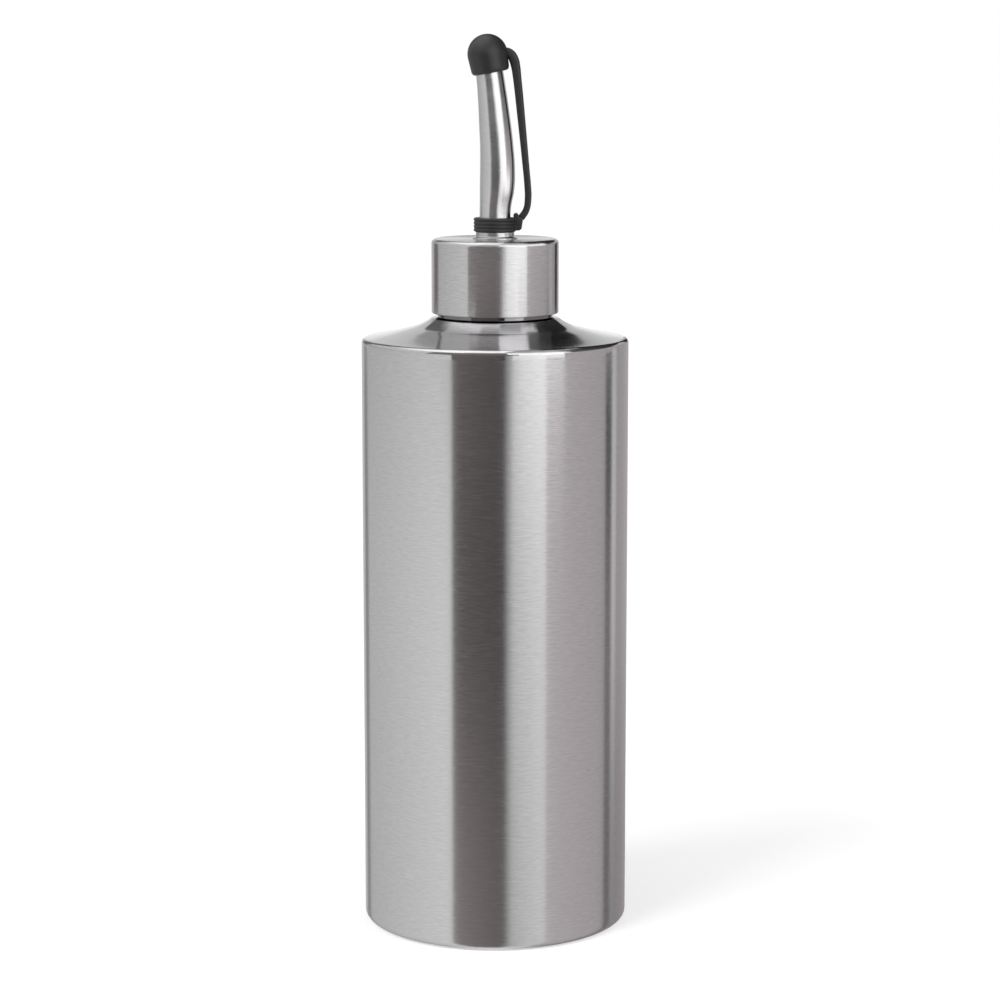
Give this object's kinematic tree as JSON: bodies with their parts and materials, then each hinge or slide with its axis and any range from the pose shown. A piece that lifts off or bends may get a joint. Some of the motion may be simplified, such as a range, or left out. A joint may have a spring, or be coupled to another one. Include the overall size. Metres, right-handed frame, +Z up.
{
  "type": "oil dispenser bottle",
  "caption": "Brushed steel oil bottle with a screw cap, a bent vented pour spout and a rubber tip cap on a strap.",
  "frame": {"origin": "centre of the standing face, under the middle of the bottle", "axes": "+Z up along the bottle and the screw; the spout bends in the XZ plane, with its tip towards -X and the strap on +X; the picture looks along +Y"},
  "size_m": [0.07, 0.07, 0.2344],
  "materials": {
    "body_steel": "brushed round the body",
    "cap_steel": "brushed round the cap",
    "spout_steel": "satin polished",
    "turned_steel": "turned",
    "insert_plastic": "moulded, natural",
    "clear_silicone": "translucent white, matt",
    "black_rubber": "matt moulded"
  },
  "bodies": {
    "bottle": {"body_wall": "body_steel", "base_pan": "body_steel", "shoulder_dome": "body_steel", "neck_ring": "turned_steel"},
    "liner": {"cap_liner": "clear_silicone"},
    "cap": {"cap_shell": "cap_steel", "cap_insert": "insert_plastic", "spout_collar": "turned_steel", "spout_gasket": "clear_silicone", "clamp_washer": "turned_steel", "clamp_nut": "turned_steel", "spout_tube": "spout_steel", "vent_tube": "spout_steel", "tether_ring": "black_rubber", "tether_strap": "black_rubber"},
    "tip": {"tip_cap": "black_rubber"}
  },
  "joints": [
    {"name": "cap_lift", "type": "slide", "parent": "bottle", "child": "liner", "axis": [0, 0, 1], "range_m": [0, 0.0168]},
    {"name": "cap_turn", "type": "hinge", "parent": "liner", "child": "cap", "pos_m": [0, 0, 0.172], "axis": [0, 0, 1], "range_deg": [0, 1440]},
    {"name": "tip_cap_pull", "type": "slide", "parent": "cap", "child": "tip", "axis": [-0.1564, 0, 0.9877], "range_m": [0, 0.0095], "deforming": ["tether_strap"]}
  ],
  "couplings": [
    {"joint": "cap_lift", "follows": "cap_turn", "m_per_rad": 0.00066845}
  ]
}
